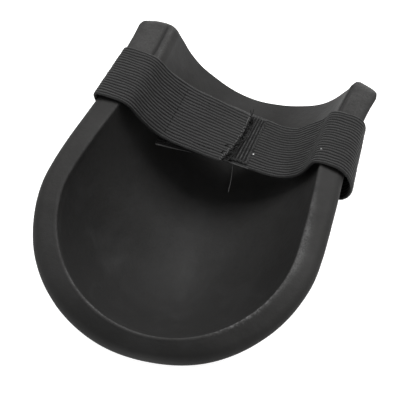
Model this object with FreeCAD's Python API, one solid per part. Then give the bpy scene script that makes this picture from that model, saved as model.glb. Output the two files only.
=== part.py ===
"""Knee pad for roofing work: a moulded foam cup with a two-part elastic strap.

Millimetres. X runs across the pad, Y along the shin with the closed end at -Y,
Z up. The pad lies on its kneeling face at Z = 0, centred on X = 0, Y = 0.
"""
import FreeCAD
import Part
import math
import os

# ---- foam cup ----
LENGTH = 215.0
WIDTH = 166.6
RIM_HEIGHT = 86.0          # rim above the kneeling face, half way along
RIM_DROP = 14.8            # how much lower the rim is at each end
WIDEST_Y = -25.5           # widest point, and centre of the round closed end
WAIST_IN = 65.9            # the sides draw in behind the widest point ...
WAIST_OUT = 95.7           # ... swing out again towards the horns ...
WAIST_EASE = 35.0          # ... and ease off at their tips
RIM_WALL = 13.8
HORN_WALL = 2.6            # extra rim width at the horn tips
FLOOR = 14.0
RIM_OUTER_ROUND = 3.5
RIM_INNER_ROUND = 1.5
HORN_ROUND = 6.0
OVER = 12.0                # spare length and height, cut off again

# ---- elastic strap ----
ELASTIC = 2.0
LEFT_Y = (33.0, 75.0)
RIGHT_Y = (37.5, 79.5)
RIM_GAP = 0.95             # under the strap's edges; its middle sits closer
HINGE_GAP = 1.1            # between the root and the band, along the strap
ANCHOR_TOP = 60.0
ANCHOR_END = 35.0
ANCHOR_DEPTH = 0.6         # flat that the strap's root lies on
RIGHT_ROOT_LIES = ((50.0, 0.4), (46.5, 0.0), (41.0, 0.0), (36.0, 0.0))     # height and lift

# ---- hook and loop closure ----
TAPE = 1.2
TAPE_WIDTH = 34.0
MATE_GAP = 0.45
SEWN_GAP = 0.06            # between a tape and the elastic it is sewn to
STITCH = 0.7               # thread thickness
STITCH_LENGTH = 2.6
STITCH_PITCH = 3.9
SEAM_X = -37.0             # where the hook tape starts, across the left strap
JOIN_X = 22.0              # where the loop tape ends, across the right strap
PEEL_GAP = 0.4             # between a band and the tab that peels off it
HALF = ELASTIC / 2.0
STACK = ELASTIC + 2.0 * TAPE + MATE_GAP     # left strap's middle above the right's
RIGHT_UNDER = (6.0, -8.0, -22.0, -35.0, -41.0)     # X where the right strap follows the left

# ---- rivets ----
RIVET_Y = (50.0, 68.0)
RIVET_Z = 42.5
RIVET_BODY = 5.0
RIVET_HEAD = 10.0
RIVET_HEAD_HEIGHT = 1.6
RIVET_BORE = 3.0
WASHER_OD = 13.0
WASHER_THICK = 1.2

V = FreeCAD.Vector


# ---------------------------------------------------------------- cup outline
def rim_height(y):
    return RIM_HEIGHT - RIM_DROP * (2.0 * y / LENGTH) ** 2


def side(y):
    """Half width of the rim's outer edge behind the widest point."""
    s = (y - WIDEST_Y) / (LENGTH / 2.0 - WIDEST_Y)
    return WIDTH / 2.0 - WAIST_IN * s ** 2 + WAIST_OUT * s ** 3 - WAIST_EASE * s ** 4


def wall(y):
    s = max(0.0, (y - WIDEST_Y) / (LENGTH / 2.0 - WIDEST_Y))
    return RIM_WALL + HORN_WALL * s


def outer_scale(u):
    """Half width and end length of the outside, u of the way down from the rim."""
    turn = max(u, 0.0) ** 8
    across = 1.0 - 0.36 * u - 0.20 * u ** 3 - 0.12 * turn
    along = 1.0 - 0.54 * u - 0.08 * u ** 2 - 0.10 * turn
    return across, along


def inner_scale(u):
    """The same for the hollow, which rounds into its floor."""
    across = 1.0 - math.copysign(abs(u) ** 1.5, u)
    along = 1.0 - math.copysign(abs(u) ** 1.2, u)
    across = max(across, 0.0) ** (1.0 / 1.5)
    along = max(along, 0.0) ** (1.0 / 1.2)
    return 0.10 + 0.90 * across, 0.28 + 0.72 * along


def level(z, inset, bottom, scale):
    """Closed outline of the cup at height z, run past the open end."""
    half = []
    y = LENGTH / 2.0 + OVER
    steps = 7
    for i in range(steps):
        yy = y + (WIDEST_Y - y) * i / steps
        top = rim_height(yy)
        k = scale((top - z) / (top - bottom))[0]
        half.append(V((side(yy) - (wall(yy) if inset else 0.0)) * k, yy, z))
    steps = 8
    reach = LENGTH / 2.0 + WIDEST_Y
    trim = RIM_WALL if inset else 0.0
    for i in range(steps + 1):
        turn = math.pi / 2.0 * i / steps
        x = (WIDTH / 2.0 - trim) * math.cos(turn)
        yy = (reach - trim) * math.sin(turn)
        top = rim_height(WIDEST_Y - yy)
        kx, ky = scale((top - z) / (top - bottom))
        half.append(V(x * kx, WIDEST_Y - yy * ky, z))
    other = [V(-p.x, p.y, p.z) for p in reversed(half[:-1])]
    curve = Part.BSplineCurve()
    curve.interpolate(half + other)
    edge = curve.toShape()
    return Part.Wire([edge, Part.makeLine(other[-1], half[0])])


def outer_at(y, z):
    top = rim_height(y)
    return side(y) * outer_scale((top - z) / top)[0]


def inner_at(y, z):
    top = rim_height(y)
    return (side(y) - wall(y)) * inner_scale((top - z) / (top - FLOOR))[0]


def anchor_line(y):
    """Two points of the flat recess for the strap's root, in the section at y."""
    return (outer_at(y, ANCHOR_TOP) - ANCHOR_DEPTH, ANCHOR_TOP), \
           (outer_at(y, ANCHOR_END) - ANCHOR_DEPTH, ANCHOR_END)


# The recess is one flat face on each side, square to the section at mid strap.
MID_Y = 54.0
(AX1, AZ1), (AX2, AZ2) = anchor_line(MID_Y)
LEAN = math.atan2(AX1 - AX2, AZ1 - AZ2)
# Unit vectors of the right-hand recess: up its face, and out of it.
UP = V(math.sin(LEAN), 0.0, math.cos(LEAN))
OUT = V(math.cos(LEAN), 0.0, -math.sin(LEAN))


def mirror(shape):
    return shape.mirror(V(0, 0, 0), V(1, 0, 0))


def anchor_point(y, z, lift=0.0):
    """Point of the right-hand recess at height z, lifted out of its face."""
    x = AX2 + (z - AZ2) * math.tan(LEAN)
    return V(x, y, z) + OUT * lift


def rivet_foot(y):
    return anchor_point(y, RIVET_Z)


def wall_along(y):
    """Foam thickness along the rivet, up to the spot face inside."""
    p = rivet_foot(y)
    t = 5.0
    while p.x - OUT.x * t > inner_at(y, p.z - OUT.z * t):
        t += 0.05
    return t


def cup():
    outer_levels = (0.0, 3.0, 7.0, 12.0, 19.0, 29.0, 41.0, 55.0, 68.0, 80.0,
                    RIM_HEIGHT + OVER)
    inner_levels = (FLOOR, 14.6, 16.5, 20.0, 26.0, 34.0, 44.0, 56.0, 69.0, 81.0,
                    RIM_HEIGHT + OVER)
    body = Part.makeLoft([level(z, False, 0.0, outer_scale) for z in outer_levels],
                         True, False)
    hollow = Part.makeLoft([level(z, True, FLOOR, inner_scale) for z in inner_levels],
                           True, False)
    body = body.cut(hollow)
    # everything above the rim, and behind the open end
    end = LENGTH / 2.0 + 2.0 * OVER
    arc = Part.Arc(V(0, -end, rim_height(end)), V(0, 0, RIM_HEIGHT),
                   V(0, end, rim_height(end))).toShape()
    high = RIM_HEIGHT + 3.0 * OVER
    top = Part.Wire([arc, Part.makeLine(V(0, end, rim_height(end)), V(0, end, high)),
                     Part.makeLine(V(0, end, high), V(0, -end, high)),
                     Part.makeLine(V(0, -end, high), V(0, -end, rim_height(end)))])
    above = Part.Face(top).extrude(V(2.0 * WIDTH, 0, 0))
    above.translate(V(-WIDTH, 0, 0))
    behind = Part.makeBox(2.0 * WIDTH, 4.0 * OVER, 2.0 * RIM_HEIGHT,
                          V(-WIDTH, LENGTH / 2.0, -OVER))
    body = body.cut(above).cut(behind)
    body = body.makeFillet(HORN_ROUND, [e for e in body.Edges if is_horn_edge(e)])
    body = body.makeFillet(RIM_OUTER_ROUND, [e for e in body.Edges if is_rim_edge(e, True)])
    body = body.makeFillet(RIM_INNER_ROUND, [e for e in body.Edges if is_rim_edge(e, False)])
    # flats for the strap roots, rivet bores and spot faces, both sides alike
    flat = anchor_flat()
    body = body.cut(flat).cut(mirror(flat))
    for y in RIVET_Y:
        for bore in rivet_cuts(y):
            body = body.cut(bore).cut(mirror(bore))
    return body


def is_horn_edge(edge):
    """The corner where the outside meets the open end, on either side."""
    box = edge.BoundBox
    flat = box.YMax - box.YMin < 0.1 and box.YMax > LENGTH / 2.0 - 0.1
    high = box.ZMax - box.ZMin > RIM_HEIGHT / 2.0 and box.ZMin < 1.0
    return flat and high and max(abs(box.XMin), abs(box.XMax)) > WIDTH / 3.0


def is_rim_edge(edge, outer):
    """The long outer or inner edge of the rim, all the way round."""
    box = edge.BoundBox
    high = box.ZMin > RIM_HEIGHT - RIM_DROP - 3.0
    long = box.YMax - box.YMin > LENGTH / 2.0
    return high and long and (box.XMax > WIDTH / 2.0 - RIM_WALL / 2.0) == outer


def anchor_flat():
    """Block whose inner face is the flat for the right-hand root."""
    y0, y1 = LEFT_Y[0] - 1.5, RIGHT_Y[1] + 1.5
    low = anchor_point(y0, ANCHOR_END - 1.5)
    tall = 48.0
    corners = [low, low + UP * tall, low + UP * tall + OUT * 20.0, low + OUT * 20.0]
    face = Part.Face(Part.makePolygon(corners + [low]))
    return face.extrude(V(0, y1 - y0, 0))


def spot_depth(y):
    return wall_along(y) - 2.4


def rivet_cuts(y):
    """Bore for the rivet, and the spot face for its washer inside the cup."""
    foot = rivet_foot(y)
    deep = spot_depth(y)
    bore = Part.makeCylinder(RIVET_BODY / 2.0 + 0.05, deep + 20.0, foot + OUT * 2.0, OUT * -1)
    spot = Part.makeCylinder(WASHER_OD / 2.0 + 0.5, 14.0, foot - OUT * deep, OUT * -1)
    return bore, spot


# ------------------------------------------------------------- strap surfaces
class Ribbon:
    """A strip ruled between a near and a far edge, each a smooth curve in X and Z.

    face is 1 where the strip's outer side is on the left of its run, else -1.
    """

    def __init__(self, near, far, ys, face):
        self.near = self.curve(near, ys[0])
        self.far = self.curve(far, ys[1])
        self.face = face

    @staticmethod
    def curve(points, y):
        line = Part.BSplineCurve()
        line.interpolate([V(x, y, z) for x, z in points])
        return line

    def edge_point(self, line, f, lift):
        u = line.FirstParameter + (line.LastParameter - line.FirstParameter) * f
        t = line.tangent(u)[0]
        return line.value(u) + V(-t.z, 0, t.x) * (lift * self.face)

    def at(self, f, v, lift=0.0):
        """f along from the hinge, v across from near to far, lift off the middle."""
        a = self.edge_point(self.near, f, lift)
        b = self.edge_point(self.far, f, lift)
        return a + (b - a) * v

    def strip(self, f0, f1, low, high, v0=0.0, v1=1.0):
        """Solid between two lifts, from f0 to f1 along and v0 to v1 across."""
        steps = 18
        wires = []
        for v in (v0, v1):
            fs = [f0 + (f1 - f0) * i / steps for i in range(steps + 1)]
            over = [self.at(f, v, high) for f in fs]
            under = [self.at(f, v, low) for f in fs]
            top = Part.BSplineCurve()
            top.interpolate(over)
            base = Part.BSplineCurve()
            base.interpolate(list(reversed(under)))
            wires.append(Part.Wire([top.toShape(), Part.makeLine(over[-1], under[-1]),
                                    base.toShape(), Part.makeLine(under[0], over[0])]))
        return Part.makeLoft(wires, True, True)

    def find(self, x):
        """The place along the strip whose middle is nearest to x."""
        return min((i / 500.0 for i in range(501)), key=lambda f: abs(self.at(f, 0.5).x - x))

    def length(self, f0, f1):
        a = [self.at(f0 + (f1 - f0) * i / 40.0, 0.5) for i in range(41)]
        return sum((q - p).Length for p, q in zip(a, a[1:]))

    def step(self, f, distance):
        """The place that far along the strip from f."""
        whole = self.length(0.0, 1.0)
        return f + distance / whole

    def stitch(self, f, v, lift, across):
        """One thread lying on the strip, along it or across it."""
        middle = self.at(f, v, lift)
        if across:
            way = self.at(f, v + 0.05, lift) - middle
        else:
            way = self.at(f + 0.01, v, lift) - middle
        way.normalize()
        return Part.makeCylinder(STITCH / 2.0, STITCH_LENGTH,
                                 middle - way * (STITCH_LENGTH / 2.0), way)

    def row_along(self, f0, f1, v, lift):
        count = int(self.length(f0, f1) / STITCH_PITCH)
        return [self.stitch(f0 + (f1 - f0) * (i + 0.5) / count, v, lift, False)
                for i in range(count)]

    def row_across(self, f, v0, v1, lift):
        width = (self.at(f, v1) - self.at(f, v0)).Length
        count = int(width / STITCH_PITCH)
        return [self.stitch(f, v0 + (v1 - v0) * (i + 0.5) / count, lift, True)
                for i in range(count)]


def rim_edge(y, out):
    """X and Z of the strap's middle over the rim, out from its inner edge."""
    return side(y) - wall(y) + out, rim_height(y) + RIM_GAP + HALF


def left_strap():
    """From the left rim's inner edge, down into the hollow, to the cut end."""
    yn, yf = LEFT_Y
    (xn, zn), (xf, zf) = rim_edge(yn, 0.0), rim_edge(yf, 0.0)
    near = [(-xn, zn), (-xn + 3.6, zn - 1.2), (-49.1, 72.3), (-36.9, 61.4), (-20.0, 57.8),
            (3.5, 56.2)]
    far = [(-xf, zf), (-xf + 3.6, zf - 1.2), (-48.0, 70.1), (-34.7, 61.0), (-17.8, 56.2),
           (6.5, 50.2)]
    return Ribbon(near, far, LEFT_Y, 1)


def right_strap(left):
    """From the right rim's inner edge to its end, which lies under the left strap."""
    yn, yf = RIGHT_Y
    (xn, zn), (xf, zf) = rim_edge(yn, 0.0), rim_edge(yf, 0.0)
    near = [(xn, zn), (xn - 3.6, zn - 1.2), (52.6, 67.5), (48.2, 60.2), (42.0, 54.6),
            (32.0, 50.9), (19.0, 50.5)]
    far = [(xf, zf), (xf - 3.6, zf - 1.2), (53.6, 70.6), (44.6, 56.0), (36.5, 45.9),
           (28.0, 42.4), (18.0, 43.5)]
    width = LEFT_Y[1] - LEFT_Y[0]
    for x in RIGHT_UNDER:
        f = left.find(x)
        for edge, y in ((near, yn), (far, yf)):
            p = left.at(f, (y - LEFT_Y[0]) / width, -STACK)
            edge.append((p.x, p.z))
    return Ribbon(near, far, RIGHT_Y, -1)


def left_root():
    """From the left rim's inner edge, over the rim, down to the end on the flat."""
    edges = []
    for y, low in zip(LEFT_Y, (72.0, 67.0)):
        corner, top = side(y), rim_height(y)
        edges.append([rim_edge(y, HINGE_GAP), rim_edge(y, 6.0), rim_edge(y, wall(y) - 3.5),
                      (corner + 0.9, top + 0.9), (corner + 2.2, top - 4.5),
                      (outer_at(y, low) + 3.0, low), flat_xz(y, 57.0, 0.7), flat_xz(y, 49.0),
                      flat_xz(y, 42.0), flat_xz(y, ANCHOR_END + 1.0)])
    return Ribbon([(-x, z) for x, z in edges[0]], [(-x, z) for x, z in edges[1]], LEFT_Y, -1)


def right_root():
    """The same on the right, where slack elastic stands off the outside in a loop."""
    near_y, far_y = RIGHT_Y
    near = [rim_edge(near_y, HINGE_GAP), rim_edge(near_y, 6.0), (73.4, 86.2), (78.6, 83.0),
            (82.8, 75.0), (83.3, 66.0), (79.2, 58.4), (70.5, 56.5)]
    far = [rim_edge(far_y, HINGE_GAP), rim_edge(far_y, 6.0), (71.6, 80.0), (76.6, 78.0),
           (79.0, 71.5), (77.9, 64.5), (74.0, 59.5), (67.7, 56.6)]
    near += [flat_xz(near_y, z, off) for z, off in RIGHT_ROOT_LIES]
    far += [flat_xz(far_y, z, off) for z, off in RIGHT_ROOT_LIES]
    return Ribbon(near, far, RIGHT_Y, 1)


def flat_xz(y, z, off=0.0):
    p = anchor_point(y, z, 0.15 + HALF + off)
    return p.x, p.z


# --------------------------------------------------------------------- rivets
def turned(profile, foot, way):
    """Solid of revolution from (radius, height) points, set at foot along way."""
    points = [V(r, 0, h) for r, h in profile]
    solid = Part.Face(Part.makePolygon(points + [points[0]])).revolve(V(0, 0, 0), V(0, 0, 1))
    solid.Placement = FreeCAD.Placement(foot, FreeCAD.Rotation(V(0, 0, 1), way))
    return solid


def rivet(y):
    """Tubular rivet: a low domed head outside the strap, a rolled tail on the washer."""
    foot = rivet_foot(y)
    lift = 0.3 + ELASTIC
    tail = -spot_depth(y) - 0.05 - WASHER_THICK - 0.05
    r, b = RIVET_BODY / 2.0, RIVET_BORE / 2.0
    head = RIVET_HEAD / 2.0
    profile = [(0, lift + RIVET_HEAD_HEIGHT), (head * 0.5, lift + RIVET_HEAD_HEIGHT * 0.9),
               (head * 0.85, lift + RIVET_HEAD_HEIGHT * 0.55), (head, lift + 0.3), (head, lift),
               (r, lift), (r, tail), (r + 1.6, tail), (r + 1.9, tail - 0.6), (r + 1.1, tail - 1.2),
               (b, tail - 0.9), (b, lift - 1.0), (0, lift - 1.0)]
    return turned(profile, foot, OUT)


def washer(y):
    foot = rivet_foot(y)
    low = -spot_depth(y) - 0.05
    hole = RIVET_BODY / 2.0 + 0.1
    rim = WASHER_OD / 2.0
    profile = [(hole, low), (rim, low), (rim, low - WASHER_THICK * 0.6),
               (rim - 0.6, low - WASHER_THICK), (hole, low - WASHER_THICK)]
    return turned(profile, foot, OUT)


def punched(strip, sign):
    """The strap's root with its rivet holes."""
    for y in RIVET_Y:
        foot = rivet_foot(y)
        hole = Part.makeCylinder(RIVET_BODY / 2.0 + 0.1, 12.0, foot - OUT * 3.0, OUT)
        strip = strip.cut(hole if sign > 0 else mirror(hole))
    return strip


def build():
    parts = {"foam_cup": cup()}
    left = left_strap()
    right = right_strap(left)
    seam, join = left.find(SEAM_X), right.find(JOIN_X)
    seam_on, join_on = left.step(seam, PEEL_GAP), right.step(join, PEEL_GAP)
    edge = 0.5 - TAPE_WIDTH / 2.0 / (LEFT_Y[1] - LEFT_Y[0])

    parts["left_root"] = punched(left_root().strip(0, 1, -HALF, HALF), -1)
    parts["left_band"] = left.strip(0, seam, -HALF, HALF)
    parts["left_tab"] = left.strip(seam_on, 1, -HALF, HALF)
    hook_start, hook_end = left.step(seam_on, 1.0), left.step(1.0, -2.5)
    parts["hook_tape"] = left.strip(hook_start, hook_end, -HALF - TAPE, -HALF - SEWN_GAP,
                                    edge + 0.05, 0.95 - edge)

    parts["right_root"] = punched(right_root().strip(0, 1, -HALF, HALF), 1)
    parts["right_band"] = right.strip(0, join, -HALF, HALF)
    parts["right_tab"] = right.strip(join_on, 1, -HALF, HALF)
    loop_start, loop_end = right.step(join_on, 0.6), right.step(1.0, -2.5)
    parts["loop_tape"] = right.strip(loop_start, loop_end, HALF + SEWN_GAP, HALF + TAPE,
                                     edge, 1.0 - edge)

    on = HALF + STITCH / 2.0 + 0.06
    a, b = left.step(hook_start, 2.0), left.step(hook_end, -1.5)
    rows = left.row_along(a, b, edge + 0.09, on) + left.row_along(a, b, 0.91 - edge, on)
    parts["hook_stitching"] = Part.makeCompound(rows)
    parts["seam_stitching"] = Part.makeCompound(
        left.row_across(hook_start + 0.008, edge + 0.13, 0.87 - edge, on))
    parts["hem_stitching"] = Part.makeCompound(
        left.row_across(left.step(1.0, -3.2), 0.04, 0.96, on))
    on = on + TAPE
    a = left_edge_clear(left, right)
    parts["loop_stitching"] = Part.makeCompound(
        right.row_along(loop_start + 0.012, a, edge + 0.05, on)
        + right.row_along(loop_start + 0.012, a, 0.95 - edge, on)
        + right.row_across(loop_start + 0.008, edge + 0.09, 0.91 - edge, on))

    for name, y in zip(("near", "far"), RIVET_Y):
        parts["right_rivet_" + name] = rivet(y)
        parts["right_washer_" + name] = washer(y)
        parts["left_rivet_" + name] = mirror(rivet(y))
        parts["left_washer_" + name] = mirror(washer(y))
    return parts, left, right, seam, join


def left_edge_clear(left, right):
    """Where the left strap's cut end stops covering the right strap, plus a margin."""
    return right.find(left.at(1.0, 1.0).x + 3.0)


def main():
    os.makedirs("parts", exist_ok=True)
    parts = build()[0]
    for name, shape in parts.items():
        shape.exportStep("parts/" + name + ".step")


main()
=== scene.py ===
"""Looks of the knee pad around its CAD frame: foam cup, ribbed elastic strap, hook and loop, rivets."""
import bpy
import bmesh
import math
import numpy as np
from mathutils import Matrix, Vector, noise
from mathutils.geometry import tessellate_polygon


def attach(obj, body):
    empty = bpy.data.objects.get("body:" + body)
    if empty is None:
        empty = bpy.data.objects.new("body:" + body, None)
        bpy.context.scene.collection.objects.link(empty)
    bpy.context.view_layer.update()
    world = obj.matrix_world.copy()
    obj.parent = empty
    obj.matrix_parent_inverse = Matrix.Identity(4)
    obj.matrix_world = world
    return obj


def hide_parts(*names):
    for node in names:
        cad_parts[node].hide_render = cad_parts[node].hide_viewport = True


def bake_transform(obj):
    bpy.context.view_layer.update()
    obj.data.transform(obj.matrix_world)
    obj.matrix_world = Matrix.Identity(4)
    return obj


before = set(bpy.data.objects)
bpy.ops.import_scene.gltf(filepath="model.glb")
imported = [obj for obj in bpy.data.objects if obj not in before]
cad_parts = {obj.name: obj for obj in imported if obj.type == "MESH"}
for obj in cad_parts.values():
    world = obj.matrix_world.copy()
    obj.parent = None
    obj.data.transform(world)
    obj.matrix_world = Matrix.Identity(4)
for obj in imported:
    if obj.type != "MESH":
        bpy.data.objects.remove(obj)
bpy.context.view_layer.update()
rng = np.random.default_rng(11)
MM = 0.001

# ------------------------------------------------------------------ sizes, mm
LENGTH, WIDTH, RIM_HEIGHT, RIM_DROP = 215.0, 166.6, 86.0, 14.8
WIDEST_Y, WAIST_IN, WAIST_OUT, WAIST_EASE = -25.5, 65.9, 95.7, 35.0
RIM_WALL, HORN_WALL, FLOOR = 13.8, 2.6, 14.0
RIM_TILT, END_TILT = 1.3, 3.2      # outer edge of the rim below its inner edge, and more at the closed end
WIDE_DROP, WIDE_OUT = 4.2, 0.5     # widest line of the outside, below and beyond that edge
RIBS, POINTS_PER_RIB, ROW_SPACING = 21, 6, 1.3
RIB_HEIGHT, HALF_THICK = 0.5, 0.52  # of the elastic, above and up to the ribs' grooves
# The open end: where its rounding starts, and for its left and right corner the radius outside,
# how far that side stands back for each mm out, and how much further the horn's tip reaches.
END_START, END_ROUND, END_SKEW, END_LONGER = 9.6, (9.2, 6.2), (0.20, 0.30), (1.6, 5.0)
END_BOW = 1.7                       # how far its middle bows out
MOULD_LINE, FOOT_ROUND = 1.7, 3.0   # mould's ridge below the widest line; round of the kneeling face's edge
CROWN_CURVE = 1.35                  # power of the rim's fall towards its outer edge
WEB, LEFT_Y, RIGHT_Y = 42.0, 33.0, 37.5  # width of the strap, and where its two halves start in y
STACK = 2.0 + 2 * 1.2 + 0.45        # from the left strap's middle down to the right one's, tapes between
ON_RIM, ON_FLAT = 1.95, 1.15        # from the foam to the strap's middle, on the rim and on the flat outside
FLAT_DEPTH = 0.6                    # how far the strap's root is let into the wall


# ------------------------------------------------------------------- meshes
def make_mesh(name, verts, faces, material, uv=None, values=None, smooth=True, merge=False):
    """Object from vertices in mm. uv is one (u, v) a vertex, values {name: one number a vertex}."""
    mesh = bpy.data.meshes.new(name)
    mesh.from_pydata([tuple(v) for v in np.asarray(verts, float) * MM], [], faces)
    if uv is not None:
        layer = mesh.uv_layers.new(name="UVMap")
        index = np.empty(len(mesh.loops), int)
        mesh.loops.foreach_get("vertex_index", index)
        layer.data.foreach_set("uv", np.asarray(uv, float)[index].astype(np.float32).ravel())
    for key, numbers in (values or {}).items():
        layer = mesh.attributes.new(key, "FLOAT", "POINT")
        layer.data.foreach_set("value", np.asarray(numbers, np.float32))
    shape = bmesh.new()
    shape.from_mesh(mesh)
    if merge:
        bmesh.ops.remove_doubles(shape, verts=shape.verts, dist=2e-5)
    bmesh.ops.recalc_face_normals(shape, faces=shape.faces)
    shape.to_mesh(mesh)
    shape.free()
    if smooth:
        mesh.polygons.foreach_set("use_smooth", [True] * len(mesh.polygons))
    mesh.materials.append(material)
    obj = bpy.data.objects.new(name, mesh)
    bpy.context.scene.collection.objects.link(obj)
    return obj


def quads(rows, cols, ring=False, start=0):
    """Faces of a grid of rows by cols, its columns joined into a ring if asked."""
    faces = []
    for r in range(rows - 1):
        for c in range(cols if ring else cols - 1):
            d = (c + 1) % cols
            a, b = start + r * cols, start + (r + 1) * cols
            faces.append((a + c, a + d, b + d, b + c))
    return faces


def smoothstep(x, low, high):
    t = np.clip((np.asarray(x, float) - low) / (high - low), 0, 1)
    return t * t * (3 - 2 * t)


# ------------------------------------------------------------------ materials
class Nodes:
    """Short way to build a node material: links by name, values set where they are used."""

    def __init__(self, name):
        self.material = bpy.data.materials.new(name)
        self.material.use_nodes = True
        self.tree = self.material.node_tree
        self.shader = self.tree.nodes["Principled BSDF"]

    def add(self, kind, inputs=None, **settings):
        node = self.tree.nodes.new(kind)
        for key, value in settings.items():
            setattr(node, key, value)
        for key, value in (inputs or {}).items():
            self.put(node.inputs[key], value)
        return node

    def put(self, socket, value):
        if isinstance(value, bpy.types.NodeSocket):
            self.tree.links.new(value, socket)
        else:
            socket.default_value = value

    def set(self, **inputs):
        for key, value in inputs.items():
            self.put(self.shader.inputs[key.replace("_", " ")], value)

    def coords(self, kind="Object"):
        return self.add("ShaderNodeTexCoord").outputs[kind]

    def stretch(self, vector, scale):
        return self.add("ShaderNodeMapping", {"Vector": vector, "Scale": scale}).outputs[0]

    def noise(self, vector, scale, detail=4.0, rough=0.6, distortion=0.0):
        return self.add("ShaderNodeTexNoise", {"Vector": vector, "Scale": scale, "Detail": detail,
                        "Roughness": rough, "Distortion": distortion}).outputs["Fac"]

    def value(self, name):
        return self.add("ShaderNodeAttribute", attribute_name=name).outputs["Fac"]

    def math(self, operation, a, b=0.0, c=0.0):
        return self.add("ShaderNodeMath", {0: a, 1: b, 2: c}, operation=operation).outputs[0]

    def ramp(self, fac, stops):
        node = self.add("ShaderNodeValToRGB", {"Fac": fac})
        ramp = node.color_ramp
        while len(ramp.elements) < len(stops):
            ramp.elements.new(0.5)
        for element, (place, colour) in zip(ramp.elements, stops):
            element.position = place
            element.color = (*colour, 1.0) if len(colour) == 3 else colour
        return node.outputs["Color"]

    def remap(self, fac, low, high, out_low, out_high):
        return self.add("ShaderNodeMapRange", {"Value": fac, "From Min": low, "From Max": high,
                        "To Min": out_low, "To Max": out_high}).outputs["Result"]

    def mix(self, fac, a, b, blend="MIX"):
        node = self.add("ShaderNodeMix", data_type="RGBA", blend_type=blend)
        for key, value in (("Factor", fac), ("A", a), ("B", b)):
            socket = [s for s in node.inputs if s.name == key and s.enabled][0]
            if not isinstance(value, bpy.types.NodeSocket) and key != "Factor":
                value = (*value, 1.0)
            self.put(socket, value)
        return [s for s in node.outputs if s.enabled][0]

    def bump(self, height, strength, distance, normal=None):
        inputs = {"Height": height, "Strength": strength, "Distance": distance}
        if normal is not None:
            inputs["Normal"] = normal
        return self.add("ShaderNodeBump", inputs).outputs[0]


def grey(value, warm=0.0):
    """Linear grey of an sRGB value from 0 to 255, a little warm or cool."""
    linear = (value / 255.0) ** 2.2
    return (linear * (1 + warm), linear, linear * (1 - warm))


def foam_material():
    """Moulded foam: cloudy, finely pitted, with painted highlights and painted shade laid into its colour.
    """
    m = Nodes("foam")
    at = m.coords()
    cloud = m.noise(at, 22.0, 5.0, 0.62)
    fine = m.noise(at, 420.0, 3.0, 0.7)
    speck = m.noise(at, 1500.0, 2.0, 0.5)
    colour = m.ramp(cloud, [(0.30, grey(24, 0.06)), (0.55, grey(28, 0.06)), (0.75, grey(32, 0.05))])
    colour = m.mix(m.remap(fine, 0.35, 0.75, 0.0, 0.35), colour, grey(37, 0.03))
    # painted highlight: the hollow's middle, its open end and the rim's lower left paler; painted shade: the
    # closed end darker
    pale = m.math("MULTIPLY", m.value("painted_light"), m.remap(cloud, 0.3, 0.7, 0.25, 0.70))
    colour = m.mix(pale, colour, grey(40))
    colour = m.mix(m.math("MULTIPLY", m.value("painted_end_shade"), 0.70), colour, grey(20, 0.04))
    # smudges of dust; dust with a painted highlight on the rim's inner edge and the horns, and nicks along
    # the edge
    smudge = m.noise(at, 38.0, 3.0, 0.55, 0.8)
    colour = m.mix(m.remap(smudge, 0.52, 0.72, 0.0, 0.30), colour, grey(44))
    streak = m.math("MULTIPLY", m.noise(at, 90.0, 6.0, 0.8), m.noise(at, 900.0, 3.0, 0.7))
    edge_grime_and_light = m.math("MULTIPLY", m.value("grime_and_light"), m.remap(streak, 0.14, 0.38, 0.0, 1.0))
    colour = m.mix(edge_grime_and_light, colour, grey(112))
    dots = m.remap(m.noise(at, 620.0, 2.0, 0.4), 0.48, 0.62, 0.0, 0.85)
    colour = m.mix(m.math("MULTIPLY", m.value("ticks"), dots), colour, grey(98))
    # painted shade in the horns' groove
    colour = m.mix(m.value("groove_shade"), colour, grey(14))
    scratch = m.noise(m.stretch(at, (30.0, 4.0, 30.0)), 9.0, 6.0, 0.7, 0.6)
    colour = m.mix(m.remap(scratch, 0.66, 0.80, 0.0, 0.30), colour, grey(60))
    rough = m.remap(cloud, 0.3, 0.75, 0.76, 0.68)
    height = m.math("ADD", m.math("MULTIPLY", fine, 0.7), m.math("MULTIPLY", speck, 0.5))
    low = m.bump(cloud, 0.35, 0.004)
    m.set(Base_Color=colour, Roughness=rough, Normal=m.bump(height, 0.30, 0.0004, low))
    m.set(Specular_IOR_Level=0.34)
    return m.material


def elastic_material():
    """Ribbed knit: light crests with worn patches, grooves painted dark as shade, selvedges painted light as
    a highlight, fine threads across each rib.
    """
    m = Nodes("elastic")
    uv = m.coords("UV")
    rib = m.value("rib")
    across = m.noise(m.stretch(uv, (11.0, 3.0, 1.0)), 1.0, 3.0, 0.7)
    knit = m.add("ShaderNodeTexWave", {"Vector": m.stretch(uv, (1.0, 0.35, 1.0)), "Scale": 2.6,
                 "Distortion": 1.2, "Detail": 2.0, "Detail Scale": 2.0},
                 wave_type="BANDS", bands_direction="X").outputs["Fac"]
    patch = m.noise(m.coords(), 45.0, 4.0, 0.6)
    # painted shade in the ribs' grooves; the crests keep the knit's own tone
    colour = m.ramp(rib, [(0.0, grey(6)), (0.30, grey(13)), (0.62, grey(36)), (1.0, grey(59))])
    colour = m.mix(m.remap(patch, 0.35, 0.7, 0.0, 0.30), colour, grey(27, -0.01))
    colour = m.mix(m.math("MULTIPLY", m.remap(across, 0.55, 0.8, 0.0, 0.6), rib), colour, grey(68))
    colour = m.mix(m.math("MULTIPLY", knit, 0.22), colour, grey(18))
    height = m.math("ADD", m.math("MULTIPLY", knit, 0.6), m.math("MULTIPLY", across, 0.8))
    m.set(Base_Color=colour, Roughness=0.82, Normal=m.bump(height, 0.45, 0.0003))
    m.set(Sheen_Weight=0.06, Sheen_Roughness=0.5, Specular_IOR_Level=0.2)
    return m.material


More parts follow.
